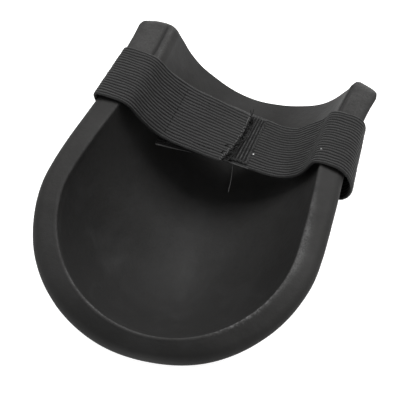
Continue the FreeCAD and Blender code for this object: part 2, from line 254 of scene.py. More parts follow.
def tape_material(name, tone):
    m = Nodes(name)
    at = m.coords()
    fuzz = m.noise(at, 1300.0, 4.0, 0.75)
    tuft = m.noise(at, 300.0, 4.0, 0.6)
    rib = m.value("rib")
    colour = m.ramp(rib, [(0.0, grey(tone * 0.1)), (0.45, grey(tone * 0.45)), (1.0, grey(tone * 2.5))])
    colour = m.mix(m.remap(fuzz, 0.5, 0.75, 0.0, 0.3), colour, grey(tone * 1.7))
    colour = m.mix(m.remap(tuft, 0.4, 0.7, 0.0, 0.5), colour, grey(tone * 0.4))
    m.set(Base_Color=colour, Roughness=0.9, Normal=m.bump(fuzz, 0.9, 0.0006, m.bump(tuft, 0.6, 0.001)))
    m.set(Sheen_Weight=0.08, Sheen_Roughness=0.5, Specular_IOR_Level=0.2)
    return m.material


def thread_material(name, tone):
    m = Nodes(name)
    at = m.coords()
    twist = m.noise(at, 1600.0, 2.0, 0.6)
    colour = m.mix(twist, grey(tone * 0.7), grey(tone * 1.25))
    m.set(Base_Color=colour, Roughness=0.9, Normal=m.bump(twist, 0.6, 0.0002), Specular_IOR_Level=0.15)
    return m.material


def metal_material(name, tone, metallic):
    m = Nodes(name)
    at = m.coords()
    light_and_grime = m.noise(at, 320.0, 5.0, 0.65)
    colour = m.mix(m.remap(light_and_grime, 0.5, 0.72, 0.0, 1.0), grey(tone), grey(tone * 1.6))
    m.set(Base_Color=colour, Metallic=metallic, Roughness=m.remap(light_and_grime, 0.3, 0.7, 0.30, 0.55),
          Normal=m.bump(light_and_grime, 0.15, 0.0004))
    return m.material


# ------------------------------------------------------------------- foam cup
def rim_z(y):
    return RIM_HEIGHT - RIM_DROP * (2.0 * y / LENGTH) ** 2


def horn_way(y):
    """0 where the cup is widest, 1 at the horns' tips."""
    return (y - WIDEST_Y) / (LENGTH / 2.0 - WIDEST_Y)


def rim_wall(y):
    return RIM_WALL + HORN_WALL * horn_way(y)


def side(y):
    """Half width of the rim's outer edge."""
    s = horn_way(y)
    return WIDTH / 2.0 - WAIST_IN * s ** 2 + WAIST_OUT * s ** 3 - WAIST_EASE * s ** 4


def outer_scale(u):
    """How the outside draws in, across and along, from the rim (u = 0) to the kneeling face (1)."""
    turn = np.maximum(u, 0.0) ** 8
    return (1 - 0.36 * u - 0.20 * u ** 3 - 0.12 * turn, 1 - 0.54 * u - 0.08 * u ** 2 - 0.10 * turn)


def inner_scale(u):
    """How the hollow draws in from its edge (u = 0) to its floor (1)."""
    across = np.maximum(1 - u ** 1.5, 0) ** (1 / 1.5)
    along = np.maximum(1 - u ** 1.2, 0) ** (1 / 1.2)
    return 0.10 + 0.90 * across, 0.28 + 0.72 * along


def outer_at(y, z):
    top = rim_z(y)
    return side(y) * outer_scale((top - z) / top)[0]


# Flat outside each wall that the strap is riveted to: X at its foot and top, and how it leans.
FLAT_Y, FLAT_LOW, FLAT_HIGH = 54.0, 35.0, 60.0
LOW_X, HIGH_X = outer_at(FLAT_Y, FLAT_LOW) - FLAT_DEPTH, outer_at(FLAT_Y, FLAT_HIGH) - FLAT_DEPTH
LEAN = math.atan2(HIGH_X - LOW_X, FLAT_HIGH - FLAT_LOW)
OUT = np.array([math.cos(LEAN), 0.0, -math.sin(LEAN)])

# Points of a section: up its outside, round the outer edge, over the crown, down into the hollow.
WALL_ROWS, EDGE_STEPS, CROWN_STEPS, HOLLOW_STEPS = 19, 8, 8, 39
CROWN = WALL_ROWS + EDGE_STEPS - 1  # last of the rounded outer edge
LIP = CROWN + CROWN_STEPS + 1       # first of the lip
END_RINGS = 10                      # rings of the open end's rounding

# How the rim turns down into the hollow: (distance in from its edge, height) in mm.
PLAIN_LIP = np.array([(-2.4, 0.0), (-1.4, -0.04), (-0.75, -0.2), (-0.28, -0.55), (-0.02, -1.1),
                      (0.1, -1.9), (0.2, -2.8), (0.3, -3.8), (0.45, -5.0)])
LIP_START = -PLAIN_LIP[0][0]
INSIDE = LIP + len(PLAIN_LIP) - 1   # first point of a section below its lip
# Inside the horns a groove and a soft bead follow it, much wider on the left one.
RIGHT_LIP = np.array([(-2.4, 0.0), (-1.5, -0.05), (-0.85, -0.5), (-0.4, -1.15), (0.05, -0.6),
                      (0.5, -0.35), (1.0, -0.6), (1.5, -1.6), (1.8, -3.0)])
LEFT_LIP = np.array([(-2.4, 0.0), (-1.0, -0.03), (-0.5, -0.4), (-0.15, -0.95), (0.2, -0.45),
                     (1.2, -0.12), (3.1, -0.75), (5.3, -2.2), (7.2, -4.8)])


def section(outer, inner, reach, bead, bead_lip):
    """Half section of the wall: up its outside, over the rim, down its inside to the floor.

    outer and inner are the rim's edges in plan; reach is true where the closed end shortens too, and bead is
    how much of the horns' groove and bead there is. Gives points, their dust with painted highlight, and the
    painted shade of the horns' groove.
    """
    (xo, yo), (xi, yi) = outer, inner
    round_end = (WIDEST_Y - yo) / (LENGTH / 2.0 + WIDEST_Y) if reach else 0.0
    # the horns tilt less and are widest higher up, the left one swells out, and the closed end draws in
    zo, zi = rim_z(yo) - RIM_TILT * (1 - 0.7 * bead) - END_TILT * round_end ** 1.5, rim_z(yi)
    drop = WIDE_DROP - 1.6 * bead
    beyond = WIDE_OUT + bead * (1.9 if xo < 0 else -0.4) - 1.2 * round_end ** 2
    if reach:
        # fuller at the lower left and flatter near the tip, by degrees round from the right
        turn = math.degrees(math.atan2(WIDEST_Y - yo, xo))
        beyond += math.exp(-((turn - 140.0) / 22.0) ** 2) - 1.6 * math.exp(-((turn - 80.0) / 20.0) ** 2)
    flat = math.hypot(xo - xi, yo - yi)
    way = np.array([(xi - xo) / flat, (yi - yo) / flat])
    swell_reach, lip_reach = 16.0, 34.0  # how far down the outside and the inside the edges' offsets fade

    def crown_z(d):
        return zo + (zi - zo) * (1 - (1 - d / flat) ** CROWN_CURVE)

    points = []
    # outside, from the kneeling face's rounded edge up past the mould line to its widest line
    top = zo - drop
    heights = np.concatenate([[0.0, 0.35, 1.1, 2.4], np.linspace(5.0, top - 3.5, 11),
                              [top - 2.2, top - MOULD_LINE, top - 1.2, top]])
    u = 1 - heights / zo
    kx, ky = outer_scale(u)
    wall = np.stack([xo * kx, WIDEST_Y + (yo - WIDEST_Y) * ky if reach else 0 * u + yo, heights], 1)
    widest = np.array([xo - way[0] * beyond, yo - way[1] * beyond, top])
    gain = np.exp(-(top - heights) / swell_reach)[:, None]
    wall = wall + (widest - wall[-1]) * gain
    foot = FOOT_ROUND - np.sqrt(FOOT_ROUND ** 2 - np.clip(FOOT_ROUND - heights, 0, FOOT_ROUND) ** 2)
    foot[WALL_ROWS - 3] = -0.3          # the mould's ridge stands out
    wall[:, :2] += foot[:, None] * way
    points += list(wall)
    # rounded outer edge: a cubic that leaves upwards and meets the crown without a break
    run_in, pull = 5.0, 0.56
    b = np.array([xo + way[0] * run_in, yo + way[1] * run_in, crown_z(run_in)])
    rise = (zi - zo) / flat * CROWN_CURVE * (1 - run_in / flat) ** (CROWN_CURVE - 1)
    knee = np.array([widest[0], widest[1], b[2] - rise * np.linalg.norm(b[:2] - widest[:2])])
    for t in np.linspace(0, 1, EDGE_STEPS + 1)[1:]:
        ends = widest * (1 - t) ** 3 + b * t ** 3
        points.append(ends + 3 * t * (1 - t) * ((widest + (knee - widest) * pull) * (1 - t)
                                                + (b + (knee - b) * pull) * t))
    # crowned rim
    for d in np.linspace(run_in, flat - LIP_START, CROWN_STEPS + 1)[1:]:
        points.append(np.array([xo + way[0] * d, yo + way[1] * d, crown_z(d)]))
    # inner edge: plain round, or crease and lip inside the horns
    lip = PLAIN_LIP * (1 - bead) + bead_lip * bead
    for d, fall in lip[1:]:
        points.append(np.array([xi + way[0] * d, yi + way[1] * d, zi + fall]))
    # inside, down into the floor
    depth, off = -lip[-1][1], lip[-1][0]
    u0 = depth / (zi - FLOOR)
    turn = np.linspace(math.asin(u0 ** 0.75), math.pi / 2, HOLLOW_STEPS + 1)[1:]
    u = np.sin(turn) ** (2 / 1.5)
    kx, ky = inner_scale(u)
    close = smoothstep(u, 0.80, 1.0)
    kx, ky = kx - 0.10 * close, ky - 0.28 * close
    k0 = inner_scale(np.array([u0]))
    x = xi * kx
    y = WIDEST_Y + (yi - WIDEST_Y) * ky if reach else 0 * u + yi
    x0 = xi * k0[0][0]
    y0 = WIDEST_Y + (yi - WIDEST_Y) * k0[1][0] if reach else yi
    fade = np.exp(-((u - u0) * (zi - FLOOR) / lip_reach) ** 1.5) * (1 - u ** 4)
    x = x + (xi + way[0] * off - x0) * fade
    y = y + (yi + way[1] * off - y0) * fade
    points += list(np.stack([x, y, zi - (zi - FLOOR) * u], 1))
    points = np.array(points)
    return points, *section_marks_and_light(points, heights, math.degrees(math.atan2(WIDEST_Y - yi, xi)), bead)


def section_marks_and_light(points, heights, turn, bead):
    """Dust, painted highlight and the groove's painted shade of a section at turn degrees round from the
    right.

    Dust with a painted highlight lies on the inner edge and along a second line inside it, and dust lies
    round the kneeling face; in the horns a painted highlight lies on the bead's crest, and dust with a
    painted highlight on top.
    """
    index = np.arange(len(points))
    strong, width, second = edge_marks_and_light(turn)
    near = np.linalg.norm(points - points[LIP + 2], axis=1)
    line = second * np.exp(-((near - 3.2) / 0.7) ** 2) * (index > LIP + 2)
    crest = np.linalg.norm(points - points[LIP + 5], axis=1)
    on_top = smoothstep(index, WALL_ROWS, CROWN) * (index < LIP)
    # painted highlight on the bead's crest; dust with a painted highlight on the horns' tops
    horn_light_and_grime = 0.28 * np.exp(-(crest / 1.6) ** 2) + 0.13 * on_top
    grime_and_light = (strong * np.exp(-(near / width) ** 2) + line) * (1 - bead) + bead * horn_light_and_grime
    # painted shade along the horns' groove
    groove_shade = bead * np.exp(-(np.linalg.norm(points - points[LIP + 3], axis=1) / 0.5) ** 2)
    grime_and_light[:WALL_ROWS] += 0.30 * np.exp(-((heights - 1.0) / 2.0) ** 2)
    return grime_and_light, groove_shade


def edge_marks_and_light(turn):
    """Dust and painted highlight of the rim's inner edge, by degrees round from the right: strength, width,
    second line.
    """
    long_side = math.exp(-((turn + 8.0) / 27.0) ** 2)
    corner = math.exp(-((turn - 34.0) / 17.0) ** 2)
    far_corner = math.exp(-((turn - 114.0) / 26.0) ** 2)
    strong = 0.07 + 0.46 * long_side + 0.42 * corner + 0.42 * far_corner
    return strong, 1.0 + 2.5 * long_side, 0.5 * far_corner


def plan_stations():
    """Rim edges in plan from the right horn's tip round the closed end to the left one's."""
    side_steps, round_steps = 58, 108
    end = LENGTH / 2.0 - END_START
    ys = [end + (WIDEST_Y - end) * i / side_steps for i in range(side_steps)]
    reach = LENGTH / 2.0 + WIDEST_Y

    def straight(y, sign):
        bead = float(smoothstep(y, 40, 72))
        return (sign * side(y), y), (sign * (side(y) - rim_wall(y)), y), False, bead

    out = [straight(y, 1) for y in ys]
    for i in range(round_steps + 1):
        turn = math.pi * i / round_steps
        c, s = math.cos(turn), math.sin(turn)
        out.append(((WIDTH / 2 * c, WIDEST_Y - reach * s),
                    ((WIDTH / 2 - RIM_WALL) * c, WIDEST_Y - (reach - RIM_WALL) * s), True, 0.0))
    return out + [straight(y, -1) for y in reversed(ys)]


def blur(values, along, reach):
    """Values smoothed along a line whose places are given, over about reach mm."""
    weight = np.exp(-((along[:, None] - along[None, :]) / reach) ** 2)
    weight *= np.gradient(along)[None, :]
    return (weight @ values) / weight.sum(1)[:, None]


def end_rings(points, before, sign):
    """Rounded edge of the open end: rings that close in on the section as they reach its plane.

    Gives the rings, and how much of the groove's painted shade is left on each.
    """
    n = len(points)
    slope = (points - before) / (points[:, 1] - before[:, 1])[:, None]
    flat = points[:, [0, 2]]
    along = np.concatenate([[0], np.cumsum(np.linalg.norm(np.diff(flat, axis=0), axis=1))])
    run = np.gradient(flat, axis=0)
    run /= np.linalg.norm(run, axis=1)[:, None] + 1e-9
    into = blur(np.stack([-run[:, 1], run[:, 0]], 1) * sign, along, 4.5)
    calm = blur(flat, along, 1.6)
    index = np.arange(n)
    wall, crown = index < WALL_ROWS, index > CROWN
    corner = ~wall & ~crown
    wide = np.abs(points[:, 0])
    inset = wide[WALL_ROWS - 1] - wide
    depth = np.where(index >= LIP, points[LIP - 1, 2] - points[:, 2], 0.0)
    deep = smoothstep(depth, 2.0, 17.0)
    lip = smoothstep(index, CROWN + 2, LIP) * (1 - deep)
    right = int(points[0, 0] > 0)
    radius, top_round, top_fall = END_ROUND[right], 3.8, 3.4
    # where each point's rounding starts, how far it closes in, and where it ends along y
    setback = np.where(wall, radius, top_round + (radius - top_round) * (1 - smoothstep(inset, 4.5, 12.5)))
    setback = np.where(crown, setback + 1.4 * lip - 2.6 * deep, setback)
    shrink = np.where(crown, 3.0 + 0.5 * lip - 2.0 * deep, 0.0)
    near_lip = crown & (depth < 3.5)
    corner_x = wide[LIP - 1]
    stand_back = END_SKEW[right] * np.maximum(wide - corner_x, 0.0)
    finish = LENGTH / 2 - stand_back * smoothstep(index, 0, WALL_ROWS - 1)
    finish += END_BOW * np.exp(-((points[:, 0] - 8.0) / 24.0) ** 2)
    finish += END_LONGER[right] * smoothstep(wide, corner_x - 17.0, corner_x)
    rings, left = [], []
    for t in np.linspace(0, math.pi / 2, END_RINGS):
        c = 1 - math.cos(t)
        y = LENGTH / 2 - setback + (finish - LENGTH / 2 + setback) * math.sin(t)
        ring = points + slope * (y - points[:, 1])[:, None]
        ring[:, [0, 2]] += (calm - flat) * (near_lip * smoothstep(c, 0.0, 0.35))[:, None]
        x, z, side_of = np.abs(ring[:, 0]), ring[:, 2], np.sign(ring[:, 0])
        widest, crest = x[WALL_ROWS - 1], z[CROWN]
        x = np.where(wall, x - radius * c * smoothstep(index, -1, 6), x)
        x = np.where(corner, np.minimum(x, widest - radius * c), x)
        z = np.where(corner, np.minimum(z, crest - top_fall * c), z)
        z = np.where(wall, np.minimum(np.maximum(z, FOOT_ROUND * c), crest - top_fall * c), z)
        z = np.where(crown, z + into[:, 1] * shrink * c, z)
        x = np.where(crown, np.minimum(x + side_of * into[:, 0] * shrink * c, widest - radius * c), x)
        ring[:, 0], ring[:, 2] = side_of * x, z
        rings.append(ring)
        left.append(1 - float(smoothstep(c, 0.0, 0.25)))
    return rings, left


def level_floor(rows, faces, verts):
    """Soften the heights near the floor, so that the hollow rounds through its middle without a crease."""
    source_rows, soft_rows, full_rows, spread, batch = 34, 26, 14, 7.0, 400
    m = len(rows[0])
    area = np.zeros(len(verts))
    for face in faces:
        p = verts[list(face)]
        area[list(face)] += np.linalg.norm(np.cross(p[1] - p[0], p[2] - p[0]))
    column = np.tile(np.arange(m), len(rows))
    inner = np.nonzero(column >= m - source_rows)[0]
    low = np.nonzero(column >= m - soft_rows)[0]
    new = verts[low, 2].copy()
    # mean height round each point, weighted by area, a batch at a time to save memory
    for start in range(0, len(low), batch):
        part = low[start:start + batch]
        gap = ((verts[part, None, :2] - verts[None, inner, :2]) ** 2).sum(-1)
        weight = np.exp(-gap / (2 * spread ** 2)) * area[inner]
        new[start:start + batch] = (weight * verts[inner, 2]).sum(1) / weight.sum(1)
    ease = smoothstep(column[low], m - soft_rows, m - full_rows)
    verts[low, 2] += (new - verts[low, 2]) * ease


def spot(x, y, at, size):
    """Soft oval spot in plan, 1 at its middle."""
    return np.exp(-((x - at[0]) / size[0]) ** 2 - ((y - at[1]) / size[1]) ** 2)


def build_cup(material):
    """The whole cup: sections round its plan, the open end's rings, and the faces between them."""
    rows, grime_and_light_rows, groove_shade_rows, ticks = [], [], [], []
    for outer, inner, reach, bead in plan_stations():
        points, grime_and_light, groove_shade = section(outer, inner, reach, bead, LEFT_LIP if outer[0] < 0 else RIGHT_LIP)
        rows.append(points)
        grime_and_light_rows.append(grime_and_light)
        groove_shade_rows.append(groove_shade)
        turn = math.degrees(math.atan2(WIDEST_Y - inner[1], inner[0]))
        near = np.linalg.norm(points - points[LIP + 2], axis=1)
        ticks.append(math.exp(-((turn - 36.0) / 15.0) ** 2) * np.exp(-(near / 1.5) ** 2))
    right, fade = end_rings(rows[0], rows[1], 1)
    left = end_rings(rows[-1], rows[-2], -1)[0]
    rows = right[::-1] + rows + left
    # dust with a painted highlight on the horns' tips, but not on the open end's face; the painted shade of
    # their groove fades out
    index = np.arange(len(rows[0]))
    tip = 0.22 * smoothstep(index, WALL_ROWS - 4, CROWN) * (1 - smoothstep(index, LIP - 3, LIP + 5))
    light_and_grime = [(1 - f) * (1 - float(smoothstep(i, 5, END_RINGS - 1))) for i, f in enumerate(fade)]
    grime_and_light_rows = [grime_and_light_rows[0] + tip * w for w in light_and_grime[::-1]] + grime_and_light_rows + [grime_and_light_rows[-1] + tip * w for w in light_and_grime]
    groove_shade_rows = [groove_shade_rows[0] * f for f in fade[::-1]] + groove_shade_rows + [groove_shade_rows[-1] * f for f in fade]
    ticks = [ticks[0]] * END_RINGS + ticks + [ticks[-1]] * END_RINGS
    n, m = len(rows), len(rows[0])
    faces = [f[::-1] for f in quads(n, m)]
    # kneeling face and the floor's middle, both from each row to the one opposite
    for i in range((n - 1) // 2):
        j = n - 1 - i
        if i + 1 < j - 1:
            faces.append((i * m, (i + 1) * m, (j - 1) * m, j * m))
            faces.append((j * m + m - 1, (j - 1) * m + m - 1, (i + 1) * m + m - 1, i * m + m - 1))
        elif i + 1 == j - 1:
            faces.append((i * m, (i + 1) * m, j * m))
            faces.append((j * m + m - 1, (i + 1) * m + m - 1, i * m + m - 1))
    # face of the open end
    verts = np.concatenate(rows)
    loop = list(range(m)) + [(n - 1) * m + i for i in reversed(range(m))]
    for tri in tessellate_polygon([[Vector((verts[i][0], verts[i][2], 0)) for i in loop]]):
        faces.append(tuple(loop[i] for i in tri))
    level_floor(rows, faces, verts)
    # moulded foam isn't perfectly even
    for v in verts:
        d = noise.noise(Vector(v) * 0.028) * 0.55 + noise.noise(Vector(v) * 0.09 + Vector((7, 3, 1))) * 0.14
        if v[2] > 1.0:
            v[0] += d * 0.8
            v[2] += d * 0.7 * min(1.0, v[2] / 20.0)
        # pressed flat under the strap's roots
        rise = max(0.0, (32.0 - v[1]) * 0.6, (v[1] - 80.5) * 0.6, (33.0 - v[2]) * 0.6, (v[2] - 58.0) * 0.3)
        limit = LOW_X + (v[2] - FLAT_LOW) * math.tan(LEAN) - 0.05 + rise
        if abs(v[0]) > limit:
            v[0] = math.copysign(limit, v[0])
    # painted highlight on the hollow's middle, its open end and the rim's lower left; painted shade on the
    # closed end, inside the hollow and on the rim
    column = np.tile(np.arange(m), n)
    inside, outside = column > INSIDE, column < LIP
    x, y = verts[:, 0], verts[:, 1]
    painted_light = inside * spot(x, y, (0.0, -1.0), (42.0, 26.0))
    painted_light += 0.7 * inside * smoothstep(y, 66.0, 104.0)
    painted_light += 0.6 * outside * spot(x, y, (-55.0, -82.0), (22.0, 24.0))
    painted_end_shade = inside * smoothstep(-y, 2.0, 46.0)
    painted_end_shade += outside * smoothstep(-y, 78.0, 96.0) * (0.35 + 0.85 * smoothstep(x, -56.0, -20.0))
    values = {"grime_and_light": np.concatenate(grime_and_light_rows), "groove_shade": np.concatenate(groove_shade_rows), "painted_light": painted_light,
              "painted_end_shade": painted_end_shade, "ticks": np.concatenate(ticks)}
    return make_mesh("foam_cup_skin", verts, faces, material, values=values, merge=True)


# --------------------------------------------------------------------- straps
class Strap:
    """Strip between two edge curves through (near, far) pairs of points; face, 1 or -1, is its outside."""

    def __init__(self, pairs, face):
        pairs = np.array(pairs, float)
        self.face = face
        self.near, self.far = self.curve(pairs[:, 0]), self.curve(pairs[:, 1])
        middle = (self.near + self.far) / 2
        self.s = np.concatenate([[0], np.cumsum(np.linalg.norm(np.diff(middle, axis=0), axis=1))])

    @staticmethod
    def curve(p, steps=30):
        """Smooth curve through points, the same number of steps between each two."""
        chord = np.concatenate([[0], np.cumsum(np.linalg.norm(np.diff(p, axis=0), axis=1) ** 0.7)])
        slope = np.zeros_like(p)
        for i in range(1, len(p) - 1):
            h0, h1 = chord[i] - chord[i - 1], chord[i + 1] - chord[i]
            d0, d1 = (p[i] - p[i - 1]) / h0, (p[i + 1] - p[i]) / h1
            slope[i] = (d0 * h1 + d1 * h0) / (h0 + h1)
        slope[0] = (p[1] - p[0]) / (chord[1] - chord[0]) * 1.5 - slope[1] * 0.5
        slope[-1] = (p[-1] - p[-2]) / (chord[-1] - chord[-2]) * 1.5 - slope[-2] * 0.5
        out = []
        for i in range(len(p) - 1):
            h = chord[i + 1] - chord[i]
            t = np.linspace(0, 1, steps, endpoint=False)[:, None]
            out.append(p[i] * (2 * t ** 3 - 3 * t ** 2 + 1) + slope[i] * h * (t ** 3 - 2 * t ** 2 + t)
                       + p[i + 1] * (3 * t ** 2 - 2 * t ** 3) + slope[i + 1] * h * (t ** 3 - t ** 2))
        return np.concatenate(out + [p[-1:]])

    def edges(self, s):
        """Points on the near and the far edge at s mm along, carried on straight past the end."""
        s = np.asarray(s, float)
        a = np.stack([np.interp(s, self.s, self.near[:, i]) for i in range(3)], -1)
        b = np.stack([np.interp(s, self.s, self.far[:, i]) for i in range(3)], -1)
        over = np.maximum(s - self.s[-1], 0.0)[..., None]
        last = self.s[-1] - self.s[-4]
        a = a + over * (self.near[-1] - self.near[-4]) / last
        b = b + over * (self.far[-1] - self.far[-4]) / last
        return a, b

    def at(self, s, v, lift=0.0):
        """Points at s mm along and v across, raised lift mm off the middle surface."""
        s, v, lift = np.broadcast_arrays(*(np.asarray(values, float) for values in (s, v, lift)))
        step = 0.8
        a, b = self.edges(s)
        a0, b0 = self.edges(s - step)
        a1, b1 = self.edges(s + step)
        run = (a1 - a0) * (1 - v[..., None]) + (b1 - b0) * v[..., None]
        normal = np.cross(run, b - a)
        normal /= np.linalg.norm(normal, axis=-1)[..., None] + 1e-12
        normal *= self.face
        return a + (b - a) * v[..., None] + normal * lift[..., None]

    def find(self, x, after=0.0):
        """How far along the strip its middle passes x, looking from after onwards."""
        middle = (self.near[:, 0] + self.far[:, 0]) / 2
        gap = np.abs(middle - x) + (self.s < after) * 1e6
        return self.s[int(np.argmin(gap))]


def rib_shape(v, count, power=0.7):
    return np.abs(np.sin(np.pi * v * count)) ** power


def cap(row, m, flip):
    """Faces that close a strip at one row, whose ring is its upper side and then its lower one."""
    faces = []
    for c in range(m // 2 - 1):
        f = (row * m + c, row * m + c + 1, row * m + m - 2 - c, row * m + m - 1 - c)
        faces.append(f[::-1] if flip else f)
    return faces


def webbing(name, strap, s0, s1, start_cap=False, end_cap=False, trim=None, wave=0.25, quiet=None):
    """Ribbed elastic from s0 to s1: both faces carry lengthwise ribs, and the selvedges are rounded.

    trim moves the far end by v, wave is how uneven the strap lies, and quiet lowers the ribs by s.
    """
    rows = max(3, int((s1 - s0) / ROW_SPACING))
    v = np.linspace(0, 1, RIBS * POINTS_PER_RIB + 1)
    ring = np.concatenate([v, v[::-1]])
    edge = np.minimum(ring, 1 - ring) * RIBS
    thin = 0.35 + 0.65 * smoothstep(edge, 0.0, 0.6)
    shape = rib_shape(ring, RIBS)
    # colour follows the ribs: painted shade in their grooves, painted highlight on the selvedges
    crest = np.maximum(shape * thin, 0.95 * np.exp(-(edge / 0.3) ** 2))
    sign = np.concatenate([np.ones(len(v)), -np.ones(len(v))])
    points, uv = [], []
    for i in range(rows + 1):
        t = i / rows
        s = np.full(len(ring), s0 + (s1 - s0) * t)
        if trim is not None:
            s = s + trim(ring) * smoothstep(s, s1 - 16.0, s1)
        soft = 1.0 if quiet is None else quiet(s[0])
        wobble = wave * np.array([noise.noise(Vector((a * 0.05, b * 9.0, 3.3))) for a, b in zip(s, ring)])
        rise = RIB_HEIGHT * soft * shape * (1 + 0.10 * np.sin(s * 2.9 + np.round(ring * RIBS) * 1.9))
        lift = sign * (HALF_THICK + rise) * thin + wobble
        shift = ring + 0.07 / RIBS * np.sin(s * 0.31 + ring * 21.0)
        shift = shift + 0.03 / RIBS * np.sin(s * 0.83 + ring * 57.0)
        points.append(strap.at(s, np.clip(shift, 0, 1), lift))
        uv.append(np.stack([s * 0.1, ring * 4.0], 1))
    m = len(ring)
    faces = quads(rows + 1, m, ring=True)
    if start_cap:
        faces += cap(0, m, False)
    if end_cap:
        faces += cap(rows, m, True)
    if strap.face > 0:
        faces = [f[::-1] for f in faces]
    return make_mesh(name, np.concatenate(points), faces, ELASTIC, uv=np.concatenate(uv),
                     values={"rib": np.tile(crest, rows + 1)})


def tape(name, strap, s0, s1, v0, v1, low, high, material, pitch=1.9, lines=0.3, trim=None):
    """Hook or loop tape: raised lines across it and a plain woven border all round."""
    border = 1.9
    rows = int((s1 - s0) / 0.35)
    width = np.linalg.norm(strap.at(s0, v1) - strap.at(s0, v0))
    v = np.linspace(v0, v1, 61)
    from_side = np.minimum(v - v0, v1 - v) / (v1 - v0) * width
    points, rib, uv = [], [], []
    ring = np.concatenate([v, v[::-1]])
    side_gap = np.concatenate([from_side, from_side[::-1]])
    upper = np.concatenate([np.ones(len(v)), np.zeros(len(v))])
    for i in range(rows + 1):
        s = np.full(len(ring), s0 + (s1 - s0) * i / rows)
        if trim is not None:
            s = s + trim(ring) * smoothstep(s, s1 - 14.0, s1)
        gap = np.minimum(side_gap, min(s[0] - s0, s1 - s[0]))
        inside = smoothstep(gap, border * 0.7, border)
        line = rib_shape((s - s0) / pitch, 1.0, 1.7)
        tuft = np.array([noise.noise(Vector((a * 1.7, b * 60.0, 0.4))) for a, b in zip(s, ring)])
        field = inside * (line * lines + tuft * 0.05) + (1 - inside) * 0.12
        edge = smoothstep(gap, 0.0, 0.3)
        lift = np.where(upper > 0, low + (high - low) * (0.5 + 0.5 * edge) * 0.75 + field, low)
        points.append(strap.at(s, ring, lift))
        rib.append(np.clip(inside * line * (0.9 + 0.5 * tuft) + (1 - inside) * (0.7 + 0.5 * tuft), 0, 1))
        uv.append(np.stack([s * 0.1, ring * 4.0], 1))
    m = len(ring)
    faces = quads(rows + 1, m, ring=True) + cap(0, m, False) + cap(rows, m, True)
    if (strap.face > 0) == (high > low):
        faces = [f[::-1] for f in faces]
    return make_mesh(name, np.concatenate(points), faces, material, uv=np.concatenate(uv),
                     values={"rib": np.concatenate(rib)})


def tube(path, radius, sides=6):
    """Vertices and faces of a thin round thread along a path, pointed at its ends. A radius may vary."""
    path = np.asarray(path, float)
    run = np.gradient(path, axis=0)
    run /= np.linalg.norm(run, axis=1)[:, None] + 1e-12
    a = np.cross(run, np.array([0.3, 0.5, 0.81]))
    a /= np.linalg.norm(a, axis=1)[:, None] + 1e-12
    b = np.cross(run, a)
    r = np.ones(len(path)) * radius
    r[[0, -1]] *= 0.3
    turn = np.arange(sides) * 2 * math.pi / sides
    verts = (path[:, None, :] + (a[:, None, :] * np.cos(turn)[None, :, None]
             + b[:, None, :] * np.sin(turn)[None, :, None]) * r[:, None, None]).reshape(-1, 3)
    faces = quads(len(path), sides, ring=True)
    faces.append(tuple(range(sides))[::-1])
    faces.append(tuple((len(path) - 1) * sides + i for i in range(sides)))
    return verts, faces


def threads(name, paths, radius, material, sides=6):
    """One object of many threads."""
    verts, faces, count = [], [], 0
    for path in paths:
        v, f = tube(path, radius, sides)
        verts.append(v)
        faces += [tuple(i + count for i in face) for face in f]
        count += len(v)
    return make_mesh(name, np.concatenate(verts), faces, material)


def seam(strap, places, lift, length=2.7, across=False):
    """Paths of stitches at (s, v) places, each rising out of the strap and back into it."""
    paths = []
    for s, v in places:
        width = np.linalg.norm(strap.at(s, 1.0) - strap.at(s, 0.0))
        t = np.linspace(-0.5, 0.5, 7)
        arch = lift + 0.32 * np.cos(t * math.pi) - 0.12 + rng.normal(0, 0.03)
        slant = rng.normal(0, 0.05)
        if across:
            paths.append(strap.at(s + slant * t * 6, v + t * length / width, arch))
        else:
            paths.append(strap.at(s + t * length, v + slant * t / width * 6, arch))
    return paths


# --------------------------------------------------------- strap paths, mm
def rim_edge(y, out):
    """Middle of the strap where it lies on the rim, out mm from its inner edge."""
    return side(y) - rim_wall(y) + out, rim_z(y) + ON_RIM


def on_flat(y, z, off=0.0):
    """Middle of the strap where it lies on the flat outside the right-hand wall."""
    p = np.array([LOW_X + (z - FLAT_LOW) * math.tan(LEAN), y, z]) + OUT * (ON_FLAT + off)
    return p[0], p[2]


def left_pairs():
    """(near, far) edge points of the left strap, from its foot outside, over the rim, to its cut end."""
    edges = []
    for y, low, inside in ((LEFT_Y, 72.0, ((49.1, 72.3), (36.9, 61.4), (20.0, 57.8), (-3.5, 56.2))),
                           (LEFT_Y + WEB, 67.0, ((48.0, 70.1), (34.7, 61.0), (17.8, 56.2), (-6.5, 50.2)))):
        wide, top, corner = rim_wall(y), rim_z(y), side(y)
        xi, zi = rim_edge(y, 0.0)
        line = [on_flat(y, 36.0), on_flat(y, 42.0), on_flat(y, 49.0), on_flat(y, 57.0, 0.7),
                (outer_at(y, low) + 3.0, low), (corner + 2.2, top - 4.5), (corner + 0.9, top + 0.9),
                rim_edge(y, wide - 3.5), rim_edge(y, 6.0), rim_edge(y, 1.1), (xi - 3.6, zi - 1.2)]
        edges.append([(-x, y, z) for x, z in line + list(inside)])
    return list(zip(*edges))


